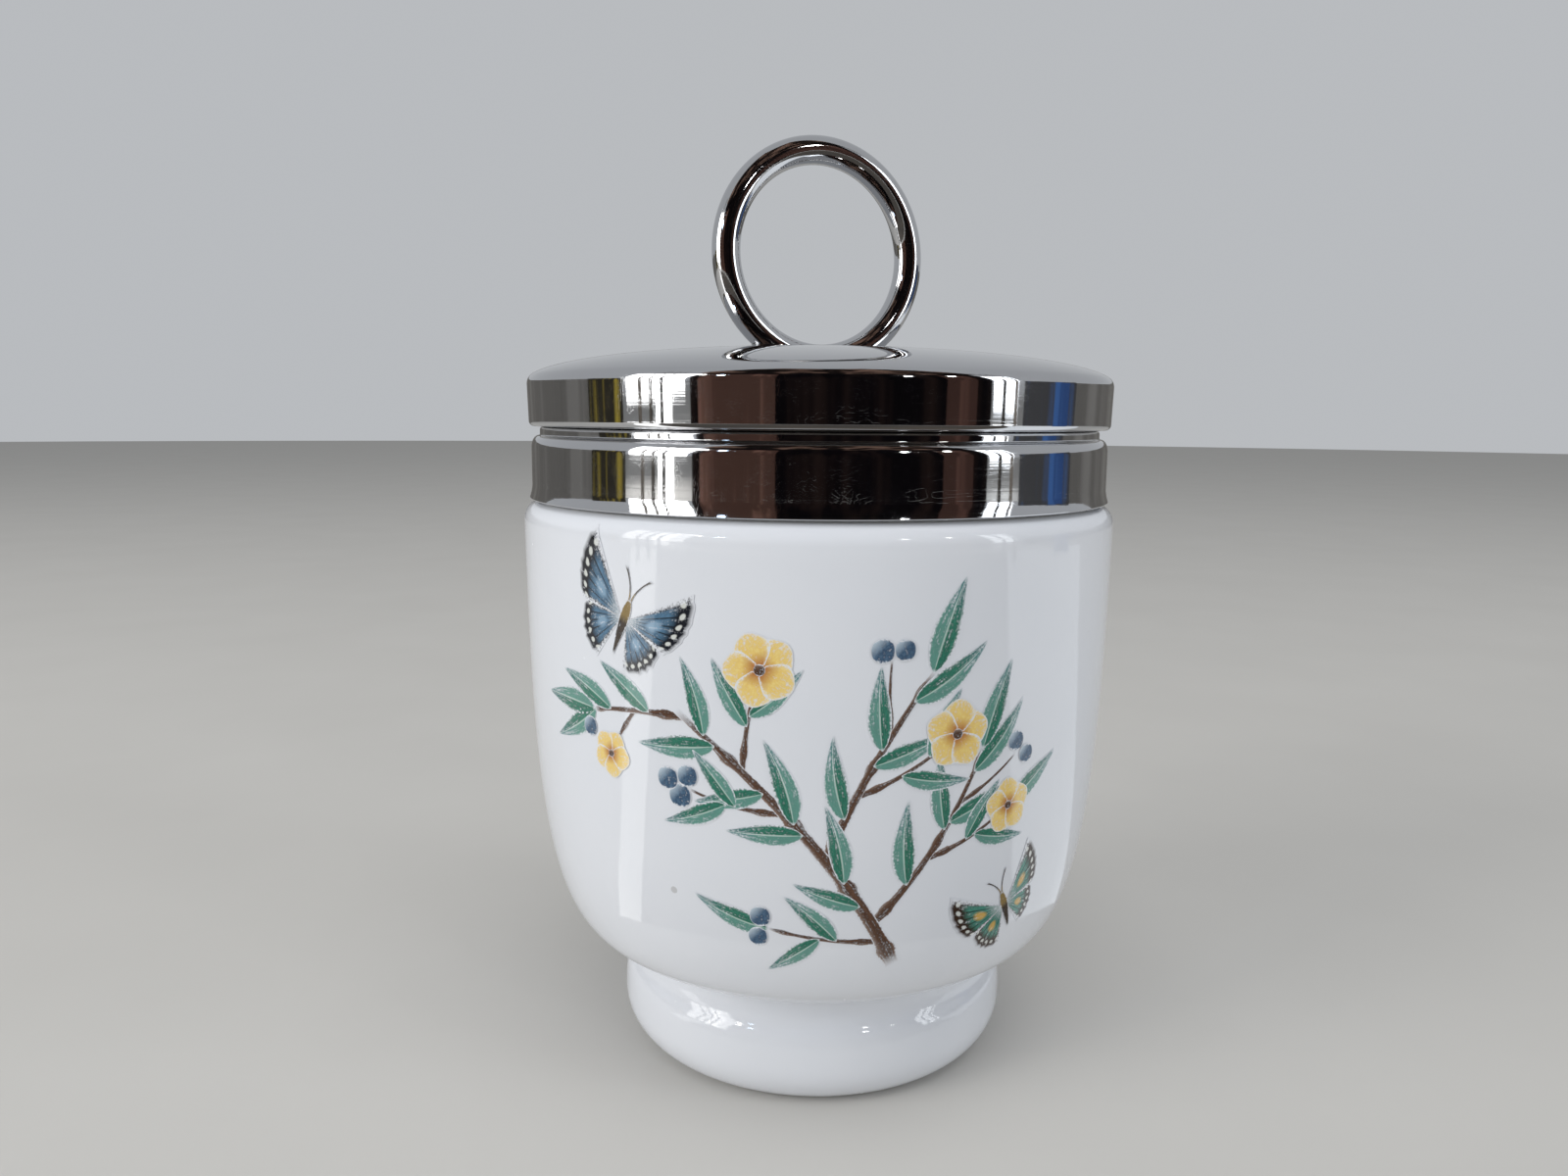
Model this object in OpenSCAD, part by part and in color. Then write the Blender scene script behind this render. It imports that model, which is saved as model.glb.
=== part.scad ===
// Egg coddler: a footed porcelain cup with a cemented metal neck collar and a domed screw lid
// that carries an upright lifting ring. Origin: centre of the foot, on the table. +Z is up.
// The ring stands in the XZ plane. All sizes are in millimetres.

/* [Cup] */
// Largest radius of the porcelain bowl
bowl_r = 28.5; // [26:0.1:34]
// Height where the bowl is widest, just below its shoulder
bowl_max_z = 51.5; // [46:0.1:56]
// Radius of the rounded porcelain shoulder under the collar
shoulder_r = 1.8; // [1.2:0.1:2.4]
// Porcelain wall
cup_wall = 3.0; // [2.2:0.1:3.4]
// Thickness of the cup's floor
floor_t = 4.2; // [3:0.1:6]
// How far the porcelain neck is set in from the bowl, which leaves a ledge for the collar
ledge_w = 3.9; // [3.2:0.1:4.6]
// Gap between the rim and the closed lid
rim_gap = 0.27; // [0.15:0.01:0.5]
// Rounding of the rim
rim_round = 1.2; // [0.6:0.1:1.4]

/* [Foot] */
// Largest radius of the foot
foot_r = 19.4; // [18:0.1:22]
// Height where the foot is widest
foot_max_z = 4.1; // [3:0.1:5.5]
// Height of the waist between foot and bowl
waist_z = 10.6; // [9.5:0.1:12]
// How far the waist is drawn in from the foot's widest point
waist_in = 1.1; // [0.6:0.1:2.5]
// How far the ring that the foot stands on is set in from the foot's widest point
stand_in = 3.8; // [3:0.1:5]
// Width of that flat ring
stand_w = 1.6; // [1:0.1:2.2]
// Depth of the hollow under the foot
recess_h = 8.3; // [6:0.1:9]

/* [Neck collar] */
// Sheet metal of the collar
collar_t = 0.5; // [0.4:0.05:0.7]
// Cement between the porcelain neck and the collar's threaded neck
cement_t = 0.8; // [0.5:0.05:1.2]
// How far the plain band stands out from the step
band_out = 0.8; // [0.5:0.1:1.2]
// Height of the band
collar_h = 5.9; // [5:0.1:6.5]
// Height of the rounding at the top of the band
collar_round = 1.1; // [0.6:0.1:1.4]
// How far the band flares at its lower edge
collar_flare = 0.25; // [0:0.05:0.3]
// Height of that flare
flare_h = 1.2; // [0.6:0.1:1.6]
// Width of the low step that the lid comes down on, out from the threaded neck
step_w = 1.0; // [0.8:0.1:1.3]
// Height of the step above the band
step_h = 0.8; // [0.6:0.1:1.2]
// How far the cup's rim stands above the threaded neck
rim_above = 0.7; // [0.3:0.1:1.2]

/* [Lid] */
// Sheet metal of the lid
lid_t = 0.6; // [0.5:0.05:0.8]
// How far the lid's side wall stands out from the collar's band
lid_over = 0.3; // [0:0.05:0.6]
// How much smaller the side wall is at its lower edge
lid_taper = 0.1; // [0:0.05:0.4]
// Height of the side wall, up to where the dome starts
lid_side_h = 3.9; // [3.6:0.05:4.6]
// Rounding of the lid's lower edge
lid_edge = 0.5; // [0.3:0.05:0.55]
// Radius of the shoulder between the side wall and the dome
lid_round = 1.1; // [0.9:0.05:1.4]
// Rise of the shoulder and the shallow dome above the side wall
dome_h = 3.7; // [3.2:0.1:5]
// Space between the threaded neck and the inward curl at the lid's lower edge
thread_space = 0.7; // [0.5:0.05:0.85]
// Height of that curl
curl_h = 0.55; // [0.5:0.05:0.8]
// Gap between the closed lid and the collar's step
seat_gap = 0.05; // [0.02:0.01:0.1]

/* [Lifting ring] */
// Outer radius of the ring
ring_r = 11.1; // [9.5:0.1:13]
// Thickness of the ring's round wire
ring_wire = 2.7; // [2.2:0.05:3.4]
// How deep the inside of the ring stands above the top of the dome
ring_gap = 0.45; // [0.1:0.05:0.6]
// Clearance between the ring and the channel in the dome
channel_gap = 0.12; // [0.05:0.01:0.3]
// How far the solder round the ring stands up above the dome
solder_h = 0.15; // [0.05:0.05:0.3]
// How much smaller the radius of the stud under the ring is than the wire's
stud_in = 0.1; // [0.05:0.05:0.3]
// Radius of the stud's peened end
peen_r = 2.5; // [2:0.1:3]
// Thickness of the peened end
peen_h = 0.6; // [0.4:0.1:1]
// Outer radius of the washer
washer_r = 3.6; // [3.2:0.1:5]
// Thickness of the washer
washer_t = 0.7; // [0.5:0.1:1]
// Running gap round the washer
washer_gap = 0.05; // [0.02:0.01:0.08]

/* [Hidden] */
$fn = 96;
curve_steps = 14;          // straight runs in each curve of an outline
corner_steps = 5;          // straight runs in each small rounded corner
dome_steps = 18;           // straight runs in the lid's dome
shoulder_turn = 60;        // angle that the lid's shoulder turns through
shoulder_run = 3.2;        // how far the shoulder's slope carries on into the dome

// Radii that follow from the sizes above
neck_r = bowl_r - ledge_w;                       // outside of the porcelain neck
bore_r = neck_r - cup_wall;                      // inside of the neck
inside_r = bowl_r - cup_wall;                    // inside of the bowl
stand_r = foot_r - stand_in;                     // outside of the ring that the foot stands on
thread_neck_r = neck_r + cement_t + collar_t;    // neck of the collar, which carries the thread
step_r = thread_neck_r + step_w;
collar_r = step_r + band_out;                    // outside of the collar's plain band
lid_r = collar_r + lid_over;                     // top of the lid's side wall
lid_low_r = lid_r - lid_taper;                   // lower edge of the lid
curl_r = thread_neck_r + thread_space;           // inside of the curl

// Heights that follow from the sizes above
ledge_z = bowl_max_z + 0.9 + shoulder_r;         // flat top of the porcelain shoulder
collar_z = ledge_z + 0.1;                        // lower edge of the collar
band_top = collar_z + collar_h;
step_z = band_top + step_h;
lid_z = step_z + seat_gap;                       // lower edge of the closed lid
side_top = lid_z + lid_side_h;
dome_top = side_top + dome_h;
// top of the cup, under the part of the dome that is above the outside of the neck
rim_z = lookup(neck_r, lid_outside(lid_t)) - rim_gap;
thread_top = rim_z - rim_above;
wire_r = ring_wire / 2;
stud_r = wire_r - stud_in;
ring_c = ring_r - wire_r;                        // radius of the wire's centre line
ring_z = dome_top + ring_gap + ring_r - ring_wire;
channel_z = ring_z - ring_r - 0.05;              // floor of the channel under the ring
channel_half = sqrt(pow(ring_r, 2) - pow(ring_z - dome_top, 2)) + 0.15;
washer_top = channel_z - lid_t - washer_gap;
peen_top = washer_top - washer_t - washer_gap;
floor_z = recess_h + floor_t;
cut_h = dome_top - channel_z + 1;                // reaches clear of the dome from the channel

// Point t along a cubic curve through p0 and p3, pulled towards p1 and p2
function cubic(p0, p1, p2, p3, t) =
    pow(1 - t, 3) * p0 + 3 * pow(1 - t, 2) * t * p1 + 3 * (1 - t) * t * t * p2 + pow(t, 3) * p3;
function curve(p0, p1, p2, p3, n = curve_steps) =
    [for (i = [0:n]) cubic(p0, p1, p2, p3, i / n)];
// Points of an arc about c from angle a0 to a1
function arc(c, r, a0, a1, n = corner_steps) =
    [for (i = [0:n]) c + r * [cos(a0 + (a1 - a0) * i / n), sin(a0 + (a1 - a0) * i / n)]];

// The side of the bowl, from its widest point down to the waist
function bowl_side() =
    let (waist_r = foot_r - waist_in, under = waist_z + 1.5)
    concat(
        curve([bowl_r, bowl_max_z], [bowl_r - 0.3, bowl_max_z * 0.64],
              [bowl_r - 0.4, under - 2.2], [waist_r + 1.5, under], 22),
        arc([waist_r + 1.2, under - 1.2], 1.2, 110, 180, 4));
// The foot, from the waist down to the ring that it stands on
function foot_side() =
    let (waist_r = foot_r - waist_in)
    concat(
        curve([waist_r, waist_z - 0.4], [waist_r, waist_z - 2.6],
              [foot_r, foot_max_z + 2.6], [foot_r, foot_max_z], 8),
        curve([foot_r, foot_max_z], [foot_r, foot_max_z * 0.45],
              [stand_r + 2.1, 0], [stand_r, 0], 8));
// The hollow under the foot, from the standing ring in to the axis
function recess_side() =
    let (in_r = stand_r - stand_w)
    curve([in_r, 0], [in_r + 1.2, recess_h * 0.45], [in_r + 1.4, recess_h * 1.02],
          [in_r - 5, recess_h], 8);
// The inside of the cup, from the axis up to the neck
function inside() =
    concat(
        [[0, floor_z]],
        curve([inside_r * 0.5, floor_z + 0.2], [inside_r * 0.95, floor_z + 0.6],
              [inside_r - 0.3, bowl_max_z * 0.5], [inside_r, bowl_max_z - 4], 16),
        curve([inside_r, bowl_max_z - 3.4], [inside_r, bowl_max_z + 0.6],
              [bore_r, bowl_max_z + 0.4], [bore_r, ledge_z + 3], 8));

module cup() {
    color([0.93, 0.94, 0.95]) rotate_extrude() polygon(concat(
        [[0, recess_h - 0.4]],
        inside(),
        arc([bore_r + rim_round, rim_z - rim_round], rim_round, 180, 90),
        arc([neck_r - rim_round, rim_z - rim_round], rim_round, 90, 0),
        [[neck_r, ledge_z]],
        arc([bowl_r - shoulder_r, ledge_z - shoulder_r], shoulder_r, 90, 0),
        bowl_side(),
        foot_side(),
        recess_side()));
}

// The collar is one pressed and spun sheet: flared band, rounded top, low step and threaded neck.
module neck_collar() {
    in_r = collar_r - collar_t;
    color([0.78, 0.79, 0.81]) rotate_extrude() polygon(concat(
        [[collar_r + collar_flare, collar_z]],
        [[collar_r, collar_z + flare_h]],
        [for (i = [0:8]) [step_r + band_out * cos(90 * i / 8),
                          band_top - collar_round * (1 - sin(90 * i / 8))]],
        arc([step_r - 0.3, step_z - 0.3], 0.3, 0, 90, 3),
        [[thread_neck_r, step_z], [thread_neck_r, thread_top],
         [thread_neck_r - collar_t, thread_top],
         [thread_neck_r - collar_t, step_z - collar_t],
         [step_r - collar_t, step_z - collar_t],
         [step_r - collar_t, band_top - collar_t],
         [in_r - 0.5, band_top - collar_t],
         [in_r, band_top - collar_t - 0.5],
         [in_r, collar_z + flare_h],
         [in_r + collar_flare, collar_z]]));
}

// The cement fills the space between the porcelain neck and the collar.
module collar_cement() {
    in_r = collar_r - collar_t;
    color([0.82, 0.80, 0.74]) rotate_extrude() polygon([
        [neck_r, ledge_z],
        [bowl_r - shoulder_r, ledge_z],
        [in_r - 0.2, collar_z + 0.25],
        [in_r, collar_z + flare_h],
        [in_r, band_top - collar_t - 0.5],
        [in_r - 0.5, band_top - collar_t],
        [step_r - collar_t, band_top - collar_t],
        [step_r - collar_t, step_z - collar_t],
        [thread_neck_r - collar_t, step_z - collar_t],
        [thread_neck_r - collar_t, thread_top - 0.4],
        [neck_r, thread_top]]);
}

// The outside of the lid from the top of the curl to the axis, moved in by d. The shoulder turns
// in from the side wall, and the dome carries on from it and is nearly flat in the middle.
function lid_outside(d) =
    let (c = [lid_r - lid_round, side_top],
         p = c + (lid_round - d) * [cos(shoulder_turn), sin(shoulder_turn)],
         top = side_top + dome_h - d)
    concat(
        [[lid_low_r - d, lid_z + curl_h]],
        arc(c, lid_round - d, 0, shoulder_turn),
        curve(p, p + shoulder_run * [-sin(shoulder_turn), cos(shoulder_turn)],
              [lid_r / 2, top], [0, top], dome_steps));

// The plan of the channel in the dome, with its walls moved out by d
module channel_plan(d) {
    half = channel_half - wire_r - channel_gap;
    w = wire_r + channel_gap + d;
    for (x = [-half, half]) translate([x, 0]) circle(w);
    square([2 * half, 2 * w], center = true);
}

module under_dome(d) {
    rotate_extrude() polygon(concat([[0, lid_z], [bore_r, lid_z]],
        [for (p = lid_outside(d)) if (p[0] < bore_r) p]));
}

// The lid is pressed from one sheet. The dome holds a narrow channel that takes the ring.
module lid_shell() {
    outer = lid_outside(0);
    inner = lid_outside(lid_t);
    color([0.78, 0.79, 0.81]) difference() {
        union() {
            rotate_extrude() polygon(concat(
                outer,
                [for (i = [len(inner) - 1:-1:0]) inner[i]],
                [[curl_r, lid_z + curl_h], [curl_r, lid_z + 0.15], [curl_r + 0.15, lid_z]],
                arc([lid_low_r - lid_edge, lid_z + lid_edge], lid_edge, 270, 360)));
            intersection() {
                translate([0, 0, channel_z - lid_t])
                    linear_extrude(dome_top - channel_z + lid_t) channel_plan(lid_t);
                under_dome(lid_t / 2);
            }
        }
        translate([0, 0, channel_z]) linear_extrude(cut_h) channel_plan(0);
        translate([0, 0, channel_z - lid_t - 1]) cylinder(r = stud_r + washer_gap, h = lid_t + 2);
    }
}

module ring_torus(extra) {
    translate([0, 0, ring_z]) rotate([90, 0, 0])
        rotate_extrude() translate([ring_c, 0]) circle(wire_r + extra, $fn = 48);
}

// A closed ring of round wire, cast with a stud whose end is peened over the washer.
module lifting_ring() {
    color([0.78, 0.79, 0.81]) union() {
        ring_torus(0);
        translate([0, 0, peen_top - 0.2]) cylinder(r = stud_r, h = ring_z - ring_c - peen_top);
        translate([0, 0, peen_top - peen_h]) cylinder(r1 = peen_r - 0.5, r2 = peen_r, h = peen_h);
    }
}

// Solder fills the channel round the ring and stands up a little above the dome.
module ring_solder() {
    color([0.80, 0.81, 0.82]) difference() {
        intersection() {
            translate([0, 0, channel_z + 0.02]) linear_extrude(cut_h) channel_plan(-0.02);
            under_dome(-solder_h);
        }
        ring_torus(0.02);
        translate([0, 0, channel_z - 1])
            cylinder(r = stud_r + 0.02, h = ring_z - ring_c - channel_z + 1);
    }
}

// The washer spreads the pull of the peened stud on the thin dome.
module stud_washer() {
    color([0.72, 0.73, 0.74]) translate([0, 0, washer_top - washer_t]) difference() {
        cylinder(r = washer_r, h = washer_t);
        translate([0, 0, -1]) cylinder(r = stud_r + washer_gap, h = washer_t + 2);
    }
}

cup();
collar_cement();
neck_collar();
lid_shell();
lifting_ring();
ring_solder();
stud_washer();
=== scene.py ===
import math

import bpy
from mathutils import Matrix, Vector


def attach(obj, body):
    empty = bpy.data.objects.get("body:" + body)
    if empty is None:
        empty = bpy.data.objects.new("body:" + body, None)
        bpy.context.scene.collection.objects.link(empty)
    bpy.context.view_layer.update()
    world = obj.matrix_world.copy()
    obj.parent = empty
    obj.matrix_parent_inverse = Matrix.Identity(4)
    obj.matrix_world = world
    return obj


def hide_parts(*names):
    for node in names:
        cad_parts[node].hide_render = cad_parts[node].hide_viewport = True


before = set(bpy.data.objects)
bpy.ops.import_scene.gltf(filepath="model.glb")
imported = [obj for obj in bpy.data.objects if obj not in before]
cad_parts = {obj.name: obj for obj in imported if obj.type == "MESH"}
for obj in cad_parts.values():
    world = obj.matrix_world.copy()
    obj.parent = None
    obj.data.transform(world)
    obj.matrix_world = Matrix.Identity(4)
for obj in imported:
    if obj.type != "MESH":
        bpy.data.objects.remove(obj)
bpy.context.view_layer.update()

# ---------------------------------------------------------------- Porcelain cup
# The cup is one piece of hard porcelain, shaped in a mould on a turning wheel, glazed all over
# and fired, then ground bare on the narrow ring that it stands on. Its neck, above the shoulder,
# stays hidden inside the metal collar.
MM = 0.001
WHEEL_STEPS, SAME_POINT, SHARP = 192, 0.004, 30

bowl_r, bowl_max_z, shoulder_r, cup_wall = 28.5, 51.5, 1.8, 3.0
foot_r, foot_max_z, waist_z, waist_r = 19.4, 4.1, 10.6, 18.3
stand_r, stand_w, recess_h, floor_z = 15.6, 1.6, 8.3, 12.5
neck_r, bore_r, ledge_z, rim_z, rim_round = 24.6, 21.6, 54.2, 66.0, 1.2


def curve(p0, p1, p2, p3, steps):
    """Points of a cubic curve from p0 to p3, pulled towards p1 and p2."""
    points = []
    for i in range(steps + 1):
        t = i / steps
        w = ((1 - t) ** 3, 3 * (1 - t) ** 2 * t, 3 * (1 - t) * t * t, t ** 3)
        points.append(tuple(sum(k * p[n] for k, p in zip(w, (p0, p1, p2, p3))) for n in (0, 1)))
    return points


def arc(centre, radius, start, end, steps):
    """Points of an arc about a centre, from one angle to another in degrees."""
    angles = [math.radians(start + (end - start) * i / steps) for i in range(steps + 1)]
    return [(centre[0] + radius * math.cos(a), centre[1] + radius * math.sin(a)) for a in angles]


def straight(start, end):
    """Points of a straight run, close together at its ends so that it shades flat."""
    shares = (0, 0.03, 0.12, 0.35, 0.65, 0.88, 0.97, 1)
    return [tuple(a + (b - a) * t for a, b in zip(start, end)) for t in shares]


def select_piece(piece):
    """Makes a piece the only one selected, and the active one."""
    bpy.ops.object.select_all(action="DESELECT")
    piece.select_set(True)
    bpy.context.view_layer.objects.active = piece


def add(name, primitive, **options):
    """Adds a primitive with nothing else selected, and names it."""
    bpy.ops.object.select_all(action="DESELECT")
    primitive(**options)
    piece = bpy.context.object
    piece.name = piece.data.name = name
    return piece


def close_up(piece, sharp, merged=0.0):
    """Turns a piece's faces outwards and smooths it up to an angle between faces, in degrees."""
    select_piece(piece)
    bpy.ops.object.mode_set(mode="EDIT")
    bpy.ops.mesh.select_all(action="SELECT")
    if merged:
        bpy.ops.mesh.remove_doubles(threshold=merged)
    bpy.ops.mesh.normals_make_consistent(inside=False)
    bpy.ops.object.mode_set(mode="OBJECT")
    bpy.ops.object.shade_smooth_by_angle(angle=math.radians(sharp))


def turn(name, outline):
    """Draws an outline of (radius, height) points in millimetres and spins it about the axis."""
    points = [outline[0]]
    for p in outline[1:]:
        if math.dist(p, points[-1]) > SAME_POINT:
            points.append(p)
    piece = add(name, bpy.ops.mesh.primitive_plane_add, size=MM,
                location=(points[0][0] * MM, 0, points[0][1] * MM))
    bpy.ops.object.transform_apply(location=True)
    bpy.ops.object.mode_set(mode="EDIT")
    bpy.ops.mesh.select_mode(type="VERT")
    bpy.ops.mesh.select_all(action="SELECT")
    bpy.ops.mesh.merge(type="CENTER")
    for (r0, z0), (r1, z1) in zip(points, points[1:]):
        bpy.ops.mesh.extrude_region_move(
            TRANSFORM_OT_translate={"value": ((r1 - r0) * MM, 0, (z1 - z0) * MM)})
    bpy.ops.mesh.select_all(action="SELECT")
    bpy.ops.mesh.spin(steps=WHEEL_STEPS, angle=math.tau, center=(0, 0, 0), axis=(0, 0, 1))
    bpy.ops.object.mode_set(mode="OBJECT")
    close_up(piece, SHARP, merged=1e-6)
    return piece


# The bowl's side runs from the shoulder down to where it turns in under itself, then come the
# waist and foot, the recess under the foot, and the inside with the rim.
inside_r, recess_r = bowl_r - cup_wall, stand_r - stand_w
under, under_round = waist_z + 1.5, 1.2
bowl_side = (
    arc((bowl_r - shoulder_r, ledge_z - shoulder_r), shoulder_r, 90, 0, 12)
    + curve((bowl_r, bowl_max_z), (bowl_r - 0.3, bowl_max_z * 0.64),
            (bowl_r - 0.4, under - 2.2), (waist_r + 1.5, under), 60)
    + arc((waist_r + under_round, under - under_round), under_round, 110, 180, 8))
foot_side = (
    curve((waist_r, waist_z - 0.4), (waist_r, waist_z - 4.3),
          (foot_r, foot_max_z + 4.9), (foot_r, foot_max_z), 30)
    + curve((foot_r, foot_max_z), (foot_r, foot_max_z * 0.45),
            (stand_r + 2.1, 0), (stand_r, 0), 16))
recess_side = curve((recess_r, 0), (recess_r + 1.2, recess_h * 0.45),
                    (recess_r + 1.4, recess_h * 1.02), (recess_r - 5, recess_h), 16)
inside = (
    straight((0, floor_z), (inside_r * 0.5, floor_z + 0.2))
    + curve((inside_r * 0.5, floor_z + 0.2), (inside_r * 0.95, floor_z + 0.6),
            (inside_r - 0.3, bowl_max_z * 0.5), (inside_r, bowl_max_z - 4), 32)
    + curve((inside_r, bowl_max_z - 3.4), (inside_r, bowl_max_z + 0.6),
            (bore_r, bowl_max_z + 0.4), (bore_r, ledge_z + 3), 16))
rim = (arc((bore_r + rim_round, rim_z - rim_round), rim_round, 180, 90, 8)
       + arc((neck_r - rim_round, rim_z - rim_round), rim_round, 90, 0, 8))
cup = turn("porcelain_cup", inside + rim + straight((neck_r, rim_z - rim_round), (neck_r, ledge_z))
           + bowl_side + foot_side + recess_side
           + straight((recess_r - 5, recess_h), (0, recess_h - 0.4)))


def node(tree, kind, inputs=(), **settings):
    """Adds a shader node. Inputs go by name or number, as a value or another node's output."""
    made = tree.nodes.new("ShaderNode" + kind)
    for name, value in settings.items():
        setattr(made, name, value)
    for key, value in dict(inputs).items():
        if isinstance(value, bpy.types.NodeSocket):
            tree.links.new(value, made.inputs[key])
        else:
            made.inputs[key].default_value = value
    return made


def sum_of(tree, operation, *values):
    """The result of a math node, from one, two or three values."""
    return node(tree, "Math", enumerate(values), operation=operation).outputs[0]


def ramp(tree, value, low, high, to_low=0.0, to_high=1.0):
    """A value brought from the span low to high into another span, and held inside it."""
    return node(tree, "MapRange", {"Value": value, "From Min": low, "From Max": high,
                                   "To Min": to_low, "To Max": to_high}).outputs["Result"]


def tint(tree, share, first, second):
    """The first colour turning into the second as the share goes from 0 to 1."""
    return node(tree, "Mix", {0: share, 6: first, 7: second}, data_type="RGBA").outputs[2]


def noise(tree, place, scale, detail=2.0, rough=0.5):
    """Cloudy variation from 0 to 1, finer as the scale grows."""
    return node(tree, "TexNoise", {"Vector": place, "Scale": scale, "Detail": detail,
                                   "Roughness": rough}).outputs["Fac"]


def new_finish(name):
    """A new material, with its nodes, its shader and the place on the piece."""
    material = bpy.data.materials.new(name)
    material.use_nodes = True
    tree = material.node_tree
    place = node(tree, "TexCoord").outputs["Object"]
    return material, tree, tree.nodes["Principled BSDF"], place


def new_effect(name, inputs, outputs):
    """A shader group with number and vector sockets, to be placed in several finishes."""
    tree = bpy.data.node_groups.new(name, "ShaderNodeTree")
    for label in inputs:
        kind = "NodeSocketVector" if label == "Place" else "NodeSocketFloat"
        tree.interface.new_socket(label, in_out="INPUT", socket_type=kind)
    for label in outputs:
        tree.interface.new_socket(label, in_out="OUTPUT", socket_type="NodeSocketFloat")
    return tree, tree.nodes.new("NodeGroupInput").outputs, tree.nodes.new("NodeGroupOutput").inputs


def effect(tree, group, **inputs):
    """Places a shader group in a finish. An underscore in an input's name stands for a space."""
    return node(tree, "Group", {k.replace("_", " "): v for k, v in inputs.items()},
                node_tree=group).outputs


# Grime and dust that every washed but used surface has: fine specks, and wide faint smears.
dusting, given, result = new_effect("dusting", ("Place", "Speck Size", "Specks", "Smears"),
                                    ("Speck Mask", "Smear Mask"))
size = sum_of(dusting, "DIVIDE", 1.0, given["Speck Size"])
cells = node(dusting, "TexVoronoi", {"Vector": given["Place"], "Scale": size, "Randomness": 1.0})
chance = node(dusting, "SeparateColor", {0: cells.outputs["Color"]}).outputs
reach = sum_of(dusting, "MULTIPLY", chance[1], 0.16)
near = sum_of(dusting, "LESS_THAN", cells.outputs["Distance"], reach)
picked = sum_of(dusting, "LESS_THAN", chance[0], given["Specks"])
dusting.links.new(sum_of(dusting, "MULTIPLY", near, picked), result["Speck Mask"])
wide = ramp(dusting, noise(dusting, given["Place"], 95.0, 4.0, 0.62), 0.46, 0.72)
fine = ramp(dusting, noise(dusting, given["Place"], 900.0, 3.0, 0.6), 0.3, 0.7)
smear = sum_of(dusting, "MULTIPLY", sum_of(dusting, "MULTIPLY", wide, fine), given["Smears"])
dusting.links.new(smear, result["Smear Mask"])


def glaze(name, white, rough):
    """White glaze over porcelain, with the faint ripple, pinholes and iron specks of the kiln."""
    material, tree, shader, place = new_finish(name)
    marks = effect(tree, dusting, Place=place, Speck_Size=0.0011, Specks=0.035, Smears=0.5)
    cloud = ramp(tree, noise(tree, place, 70.0, 3.0), 0.35, 0.7)
    body = tint(tree, cloud, white, [c * k for c, k in zip(white, (0.975, 0.98, 0.985))] + [1])
    iron = effect(tree, dusting, Place=place, Speck_Size=0.0021, Specks=0.012, Smears=0.0)
    spotted = tint(tree, sum_of(tree, "MULTIPLY", iron["Speck Mask"], 0.35), body,
                   (0.2, 0.17, 0.13, 1))
    tree.links.new(spotted, shader.inputs["Base Color"])
    gloss = sum_of(tree, "MULTIPLY_ADD", marks["Smear Mask"], 0.10, rough)
    gloss = sum_of(tree, "MULTIPLY_ADD", marks["Speck Mask"], 0.25, gloss)
    tree.links.new(gloss, shader.inputs["Roughness"])
    ripple = sum_of(tree, "MULTIPLY_ADD", noise(tree, place, 900.0, 2.0), 0.12,
                    noise(tree, place, 170.0, 2.0))
    bump = node(tree, "Bump", {"Height": ripple, "Strength": 0.5, "Distance": 0.00005})
    tree.links.new(bump.outputs["Normal"], shader.inputs["Normal"])
    shader.inputs["IOR"].default_value = 1.5
    return material, tree, shader, place, spotted


GLAZE_WHITE, GLAZE_ROUGH, BARE_ROUGH = (0.775, 0.795, 0.84, 1), 0.055, 0.75
cup_glaze, tree, shader, place, glazed = glaze("cup_glaze", GLAZE_WHITE, GLAZE_ROUGH)
# The standing ring is ground free of glaze, over its lowest fifth of a millimetre.
height = node(tree, "SeparateXYZ", {0: place}).outputs["Z"]
bare = ramp(tree, height, 0.03 * MM, 0.22 * MM, 1.0, 0.0)
bisque = tint(tree, noise(tree, place, 1500.0, 4.0, 0.7),
              (0.62, 0.59, 0.53, 1), (0.74, 0.72, 0.67, 1))
tree.links.new(tint(tree, bare, glazed, bisque), shader.inputs["Base Color"])
gloss = shader.inputs["Roughness"].links[0].from_socket
tree.links.new(sum_of(tree, "MAXIMUM", sum_of(tree, "MULTIPLY", bare, BARE_ROUGH), gloss),
               shader.inputs["Roughness"])
cup.data.materials.append(cup_glaze)
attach(cup, "cup_body")
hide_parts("cup")

# ---------------------------------------------------------------- Printed spray
# A transfer print under a last thin coat of glaze: a leafy twig with yellow blossoms, blue
# berries and two butterflies. The inks are a few thousandths of a millimetre thick, laid on as
# film and fired in, so each motif here is a very thin patch that follows the bowl.

# FRONT is the side that faces the camera, in degrees about the axis. FILM is the thickness of
# the print, and FILM_STAND the share of it that lies between the bowl and the film's middle.
FRONT, FILM, FILM_STAND = -26.0, 0.016, 0.6


def flat_motif(name, steps, rows, outline):
    """A flat patch with a map named print. Its outline(s, t) gives each point's place, with s
    from 0 to 1 along the patch and t from -1 to 1 across it."""
    patch = add(name, bpy.ops.mesh.primitive_grid_add, x_subdivisions=steps, y_subdivisions=rows,
                size=1, calc_uvs=True)
    patch.data.uv_layers[0].name = "print"
    for v in patch.data.vertices:
        v.co = (*outline(v.co.x + 0.5, v.co.y * 2), 0)
    return patch


def bowl_radius(z):
    """The bowl's radius at a height."""
    for (r0, z0), (r1, z1) in zip(bowl_side, bowl_side[1:]):
        if z1 <= z <= z0:
            return r0 + (r1 - r0) * (z0 - z) / (z0 - z1)
    raise ValueError(z)


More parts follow.
